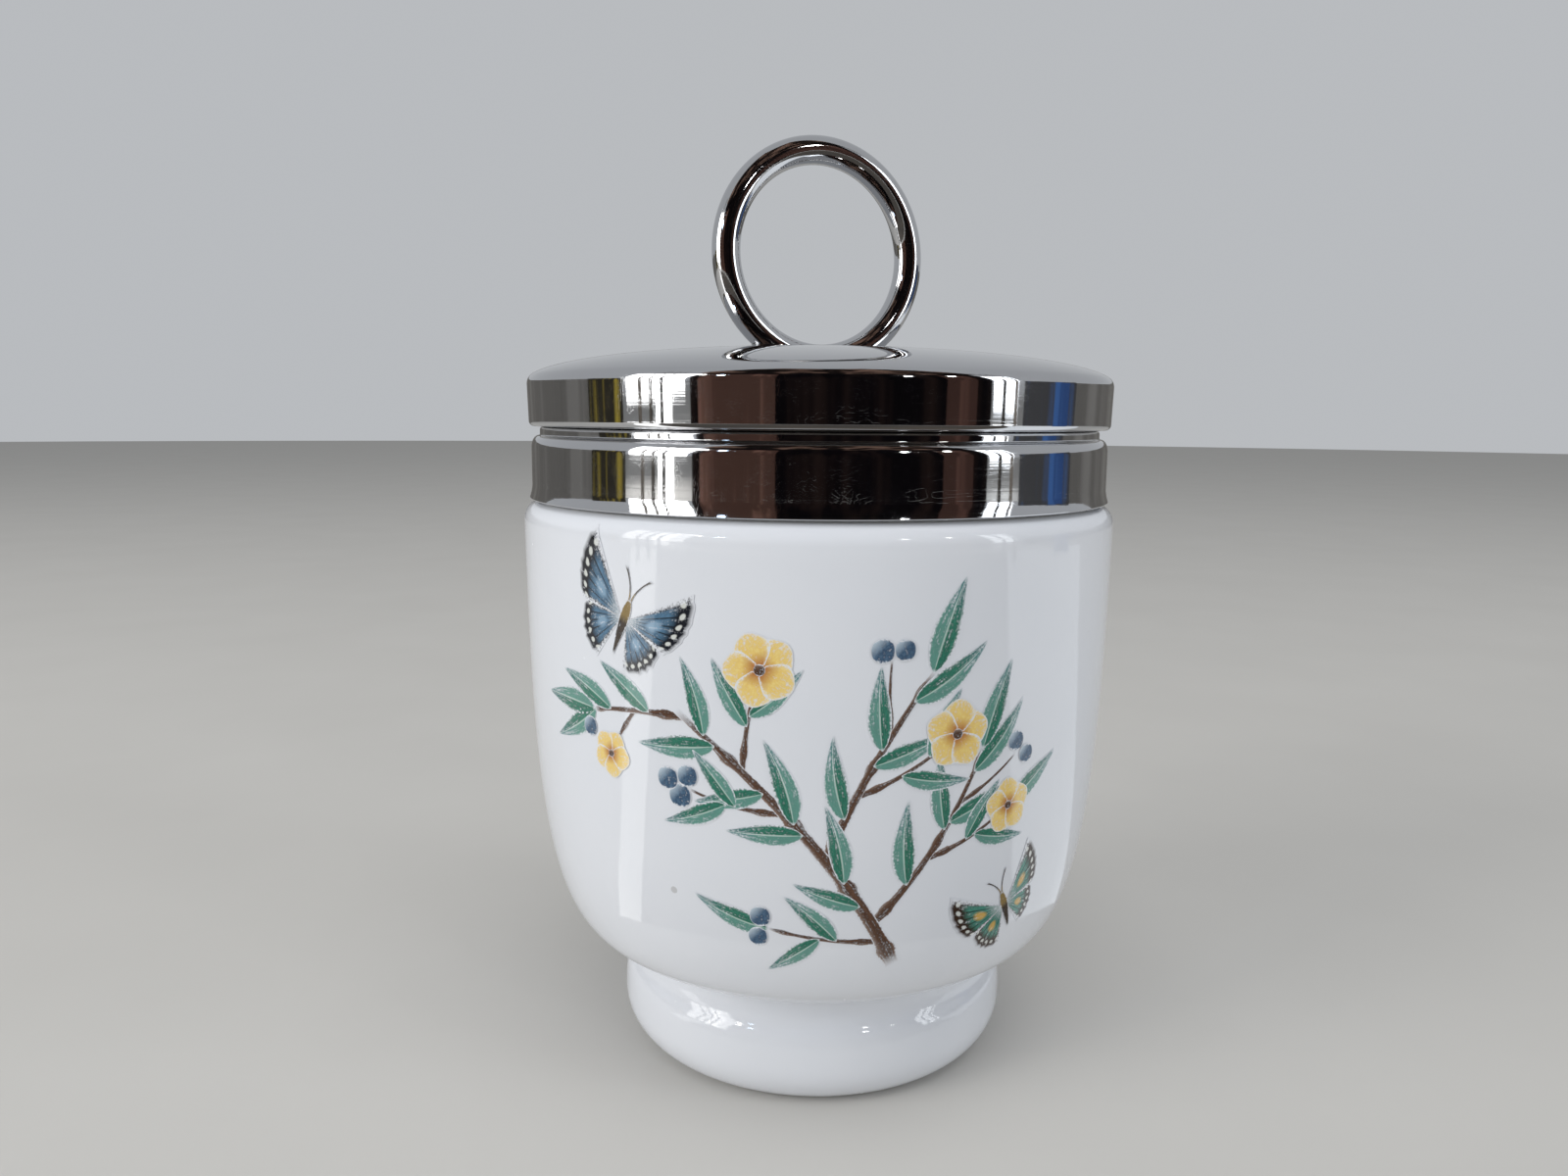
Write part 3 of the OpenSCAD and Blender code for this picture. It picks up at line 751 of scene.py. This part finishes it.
def pick(piece, kind, wanted):
    """Opens a piece in edit mode with only those vertices or edges selected that pass a test."""
    mesh = piece.data
    for parts in (mesh.vertices, mesh.edges, mesh.polygons):
        parts.foreach_set("select", [False] * len(parts))
    bpy.context.tool_settings.mesh_select_mode = (kind == "VERT", kind == "EDGE", False)
    if kind == "VERT":
        for v in mesh.vertices:
            v.select = wanted(v.co / MM)
    else:
        for e in mesh.edges:
            e.select = all(wanted(mesh.vertices[i].co / MM) for i in e.vertices)
    bpy.ops.object.mode_set(mode="EDIT")


def trough(name, width, low, high, rounding):
    """A long round-ended block, from a cylinder with its two halves drawn apart."""
    block = add(name, bpy.ops.mesh.primitive_cylinder_add, vertices=64, radius=width * MM,
                depth=(high - low) * MM, location=(0, 0, (low + high) / 2 * MM),
                rotation=(0, 0, math.pi / 64))
    bpy.ops.object.transform_apply(location=True, rotation=True)
    for side in (-1, 1):
        pick(block, "VERT", lambda p: p.x * side > 0)
        bpy.ops.transform.translate(value=(side * end_x * MM, 0, 0))
        bpy.ops.object.mode_set(mode="OBJECT")
    pick(block, "EDGE", lambda p: p.z < low + 0.01)
    bpy.ops.mesh.bevel(offset=rounding * MM, segments=5)
    bpy.ops.object.mode_set(mode="OBJECT")
    return block


def carve(piece, tool, operation):
    """Adds a tool's solid to a piece or takes it away, and removes the tool."""
    select_piece(piece)
    step = piece.modifiers.new("step", "BOOLEAN")
    step.operation, step.object, step.solver = operation, tool, "EXACT"
    bpy.ops.object.modifier_apply(modifier=step.name)
    bpy.data.objects.remove(tool)


trough_low, trough_top, trough_round = channel_z - lid_t, dome_top - 0.45, 0.5
carve(lid, trough("pressed_trough", wire_r + channel_gap + lid_t, trough_low, trough_top,
                  trough_round), "UNION")
hole = add("stud_hole", bpy.ops.mesh.primitive_cylinder_add, vertices=64,
           radius=(stud_r + play) * MM, depth=2 * MM, location=(0, 0, (channel_z - 0.8) * MM))
carve(lid, hole, "DIFFERENCE")
select_piece(lid)
bpy.ops.object.shade_smooth_by_angle(angle=math.radians(SHARP))
lid_bead_r, lid_bead_depth, lid_bead_turns = lid_r - lid_t - 0.45, 0.65, 0.9
join(lid, roll_thread("lid_thread", lid_bead_r, lid_bead_depth, step_z + BEAD, lid_bead_turns))
lid.data.materials.append(chrome("lid_chrome", CHROME, 0.03, 0.6, 0.5))
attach(lid, "lid_body")
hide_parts("lid_shell")

# ---------------------------------------------------------------- Lifting ring
# The ring is a closed loop of round wire, cast in one with a short stud, polished and chromed.
# It stands upright in the lid's trough, and the stud's end is peened over the washer.
washer_t, washer_top = 0.7, channel_z - lid_t - play
peen_top, peen_h, peen_r = washer_top - washer_t - play, 0.6, 2.5
ring = add("lifting_ring_loop", bpy.ops.mesh.primitive_torus_add, major_segments=192,
           minor_segments=48, major_radius=ring_c * MM, minor_radius=wire_r * MM,
           rotation=(math.pi / 2, 0, 0), location=(0, 0, ring_z * MM))
bpy.ops.object.transform_apply(location=True, rotation=True)
bpy.ops.object.shade_smooth()
stud = turn("ring_stud", [(0, peen_top - peen_h)]
            + curve((1.2, peen_top - peen_h), (2.1, peen_top - 0.58), (peen_r, peen_top - 0.4),
                    (peen_r, peen_top - 0.08), 8)
            + [(peen_r - 0.08, peen_top), (stud_r, peen_top), (stud_r, ring_z - ring_c),
               (0, ring_z - ring_c)])
join(ring, stud)
ring.data.materials.append(chrome("ring_chrome", CHROME, 0.04, 0.9, 0.55))
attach(ring, "lid_body")
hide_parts("lifting_ring")

# ---------------------------------------------------------------- Solder round the ring
# Solder fills the trough round the ring and stands up as a thin bright fillet where the wire
# leaves the dome. It was run in hot, so it is smooth, and it was chromed with the lid.
FILLET, FILLET_POINTS, SUNK = 0.34, 144, 0.12


def round_the_wire(share, height, out):
    """A point on the line where the ring leaves the dome, lifted by height and moved out."""
    a = math.tau * share
    drop = ring_z - dome_top - height
    x = math.sqrt(ring_r ** 2 - drop ** 2) * math.cos(a)
    far = math.hypot(x, drop)
    y = math.copysign(math.sqrt(max(wire_r ** 2 - (far - ring_c) ** 2, 0)), math.sin(a))
    gx, gy = (far - ring_c) * x / far, y
    long = math.hypot(gx, gy) or 1
    x, y = x + out * gx / long, y + out * gy / long
    return (x * MM, y * MM, (dome_height(math.hypot(x, y)) + height) * MM)


solder = add("ring_solder_fillet", bpy.ops.mesh.primitive_circle_add, vertices=FILLET_POINTS,
             radius=7 * MM, fill_type="NGON", location=(0, 0, 0))
# The fillet's hollow bend, as (out from the wire, height), with both its ends sunk in the metal.
bend = [(-SUNK, FILLET)] + [(FILLET * (1 - math.cos(a)), FILLET * (1 - math.sin(a)))
                            for a in (math.pi / 2 * k / 7 for k in range(8))] + [(FILLET, -SUNK)]
for level in range(len(bend)):
    if level:
        bpy.ops.object.mode_set(mode="EDIT")
        bpy.ops.mesh.extrude_region_move(TRANSFORM_OT_translate={"value": (0, 0, MM)})
        bpy.ops.object.mode_set(mode="OBJECT")
    raised = [v for v in solder.data.vertices if v.select]
    for i, v in enumerate(raised):
        v.co = round_the_wire(i / FILLET_POINTS, *bend[level])
close_up(solder, 50)
solder.data.materials.append(chrome("solder_chrome", (0.60, 0.60, 0.60), 0.09, 0.3, 0.8))
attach(solder, "lid_body")
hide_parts("ring_solder")

# ---------------------------------------------------------------- Stud washer
# A plain steel washer, punched from sheet, lies under the dome between it and the peened stud,
# and spreads the pull of the ring.
washer_in, washer_r, washer_low, washer_round = stud_r + play, 3.6, washer_top - washer_t, 0.2
washer = turn("stud_washer_disc",
              [(washer_in, washer_low + 0.1), (washer_in + 0.08, washer_low)]
              + straight((washer_in + 0.1, washer_low), (washer_r - 0.22, washer_low))
              + arc((washer_r - washer_round, washer_low + washer_round), washer_round, 270, 360, 5)
              + arc((washer_r - washer_round, washer_top - washer_round), washer_round, 0, 90, 5)
              + straight((washer_r - 0.22, washer_top), (washer_in + 0.1, washer_top))
              + [(washer_in, washer_top - 0.1), (washer_in, washer_low + 0.1)])
washer.data.materials.append(chrome("washer_steel", (0.50, 0.49, 0.48), 0.28, 1.0, 1.0))
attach(washer, "lid_fixing")
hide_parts("stud_washer")

# ---------------------------------------------------------------- Table, lamps and camera
# The cup stands on a plain pale table in soft light from both sides and above. Screens all
# round it, and a painted shadow and painted light lying flat on the table, are seen only as
# reflections in the chrome and the glaze.
table = add("table", bpy.ops.mesh.primitive_circle_add, vertices=96, radius=2.6,
            fill_type="TRIFAN", location=(0, 0, 0))
table_finish, tree, shader, place = new_finish("table_finish")
pale = tint(tree, noise(tree, place, 30.0, 4.0), (0.62, 0.605, 0.575, 1), (0.66, 0.645, 0.615, 1))
tree.links.new(pale, shader.inputs["Base Color"])
shader.inputs["Roughness"].default_value = 0.6
shader.inputs["Specular IOR Level"].default_value = 0.0
table.data.materials.append(table_finish)

# Lamps point at the middle of the cup, in metres above the table.
CUP_MIDDLE = 0.05


def around_cup(side, rise, distance):
    """A place seen from the cup at so many degrees right of the camera and above the table."""
    a, e = math.radians(FRONT + side), math.radians(rise)
    return (distance * math.sin(a) * math.cos(e), -distance * math.cos(a) * math.cos(e),
            distance * math.sin(e) + CUP_MIDDLE)


def lamp(name, side, rise, distance, width, height, power, colour=(1, 1, 1), mirrored=True):
    """A soft lamp that points at the cup. It isn't seen in the chrome if it isn't mirrored."""
    light = bpy.data.lights.new(name, "AREA")
    light.shape, light.size, light.size_y = "RECTANGLE", width, height
    light.energy, light.color = power, colour
    made = bpy.data.objects.new(name, light)
    bpy.context.scene.collection.objects.link(made)
    made.location = around_cup(side, rise, distance)
    aim = Vector((0, 0, CUP_MIDDLE)) - made.location
    made.rotation_euler = aim.to_track_quat("-Z", "Y").to_euler()
    made.visible_glossy = mirrored


# Daylight comes from a window at the left, a strip at the right and from above. Four small
# lamps make the bright points in the chrome and on the foot.
DAY, SKY, LAMPLIGHT = (1.0, 0.99, 0.97), (0.92, 0.96, 1.0), (1.0, 0.96, 0.90)
lamp("left_window", -61, 16, 0.9, 0.42, 0.55, 3.4, DAY)
lamp("left_low", -56, 12, 0.42, 0.05, 0.24, 0.12, DAY)
lamp("right_strip", 71, 14, 0.9, 0.18, 0.5, 1.3, SKY)
lamp("overhead", 20, 72, 1.0, 0.7, 0.7, 2.9, mirrored=False)
for n, (side, rise, colour) in enumerate(((-44, 27, LAMPLIGHT), (-36, 25, (0.62, 0.80, 1.0)),
                                          (33, 26, (1.0, 1.0, 1.0)), (51, 28, (1.0, 0.97, 0.92)))):
    lamp("ceiling_%d" % n, side, rise, 0.56, 0.026, 0.038, 0.06, colour)


def screen(name, start, end, foot, head, first, second, size, glow=0.0):
    """A curved screen that only mirrors in the cup, mottled in two colours. It spans the sides
    from start to end, between a foot and a head that are each (distance, height). A glow above
    nothing makes it shine in its second colour, as painted light."""
    made = add(name, bpy.ops.mesh.primitive_plane_add, size=1, location=(0, 0, 0))
    bpy.ops.object.mode_set(mode="EDIT")
    bpy.ops.mesh.subdivide(number_cuts=24)
    bpy.ops.object.mode_set(mode="OBJECT")
    for v in made.data.vertices:
        distance, height = (a + (b - a) * (v.co.y + 0.5) for a, b in zip(foot, head))
        x, y, _ = around_cup(start + (v.co.x + 0.5) * (end - start), 0, distance)
        v.co = (x, y, height)
    finish, tree, shader, place = new_finish(name + "_finish")
    tall = node(tree, "Mapping", {"Vector": place, "Scale": (1.0, 1.0, 0.12)}).outputs[0]
    patches = ramp(tree, noise(tree, tall, size, 3.0), 0.48, 0.62)
    tree.links.new(tint(tree, patches, (*first, 1), (*second, 1)), shader.inputs["Base Color"])
    shader.inputs["Roughness"].default_value = 0.9
    shader.inputs["Specular IOR Level"].default_value = 0.0
    shader.inputs["Emission Color"].default_value = (*second, 1)
    shader.inputs["Emission Strength"].default_value = glow
    made.data.materials.append(finish)
    made.visible_camera = made.visible_diffuse = made.visible_shadow = False


screen("dark_screen", -46, 64, (0.62, 0), (0.62, 0.55),
       (0.006, 0.005, 0.006), (0.024, 0.015, 0.013), 8.0)
screen("top_screen", -50, 68, (0.62, 0.55), (0.15, 0.95),
       (0.02, 0.015, 0.014), (0.34, 0.21, 0.16), 9.0)
screen("brown_screen_left", -43, -15, (0.60, 0), (0.60, 0.42),
       (0.12, 0.065, 0.05), (0.36, 0.19, 0.145), 13.0)
screen("brown_screen_right", 46, 58, (0.60, 0), (0.60, 0.42),
       (0.08, 0.043, 0.035), (0.17, 0.088, 0.07), 13.0)
# The blue screen glows a little, as painted light, so that it shows bright in the chrome.
screen("blue_screen", 94, 103, (0.42, 0), (0.42, 0.10),
       (0.03, 0.06, 0.17), (0.06, 0.14, 0.36), 30.0, 0.3)
screen("left_screen", -93, -75, (0.70, 0), (0.70, 0.15),
       (0.05, 0.045, 0.035), (0.52, 0.40, 0.07), 26.0)
screen("right_screen", 79, 109, (0.70, 0), (0.70, 0.15),
       (0.10, 0.10, 0.105), (0.10, 0.17, 0.36), 14.0)
screen("back_screen", 109, 267, (0.75, 0), (0.75, 0.13),
       (0.22, 0.21, 0.196), (0.33, 0.318, 0.30), 7.0)
for n, side in enumerate((-66.5, -61.8, -57.2, 67.6, 73.0)):
    screen("window_bar_%d" % n, side, side + 1.5, (0.36, 0), (0.36, 0.4),
           (0.04, 0.036, 0.03), (0.30, 0.26, 0.22), 20.0)
# Painted shadow and painted light on the table, seen only in the glaze and the chrome: a dark sheet
# for shade in front of the cup, and two glowing sheets for window light at its sides.
screen("table_shade", -58, 71, (0.04, MM), (0.5, MM),
       (0.10, 0.09, 0.08), (0.14, 0.12, 0.10), 8.0)
screen("table_light_left", -69, -58, (0.04, MM), (0.5, MM),
       (0.90, 0.89, 0.87), (0.95, 0.94, 0.92), 8.0, 1.2)
screen("table_light_right", 71, 112, (0.04, MM), (0.5, MM),
       (0.84, 0.87, 0.90), (0.90, 0.93, 0.95), 8.0, 0.35)

world = bpy.data.worlds.new("studio")
bpy.context.scene.world = world
world.use_nodes = True
tree = world.node_tree
seen = node(tree, "LightPath").outputs
# The world lights the cup a little less than it shows behind it and in its reflections.
AMBIENT, BACKDROP = 0.40, 0.52
shown = sum_of(tree, "MAXIMUM", seen["Is Camera Ray"], seen["Is Glossy Ray"])
shown = sum_of(tree, "MAXIMUM", shown, seen["Is Transmission Ray"])
sky = tree.nodes["Background"]
sky.inputs["Color"].default_value = (0.93, 0.96, 1.0, 1)
tree.links.new(ramp(tree, shown, 0.0, 1.0, AMBIENT, BACKDROP), sky.inputs["Strength"])

# The camera stands where the photograph was taken from. Lengths are in metres, turns in degrees.
EYE_BACK, EYE_HEIGHT, LOOK_DOWN, LOOK_LEFT, LEAN = 0.1154, 0.06223, 8.5, 1.6, 0.45
camera = bpy.data.objects.new("camera", bpy.data.cameras.new("camera"))
bpy.context.scene.collection.objects.link(camera)
camera.data.lens, camera.data.sensor_width = 26.55, 36.0
camera.data.clip_start, camera.data.clip_end = 0.005, 20.0
turned = (Matrix.Rotation(math.radians(FRONT + LOOK_LEFT), 4, "Z")
          @ Matrix.Rotation(math.radians(90 - LOOK_DOWN), 4, "X")
          @ Matrix.Rotation(math.radians(LEAN), 4, "Z"))
front = math.radians(FRONT)
camera.matrix_world = Matrix.Translation((EYE_BACK * math.sin(front), -EYE_BACK * math.cos(front),
                                          EYE_HEIGHT)) @ turned
bpy.context.scene.camera = camera

bpy.context.scene.view_settings.view_transform = "Standard"
bpy.context.view_layer.update()
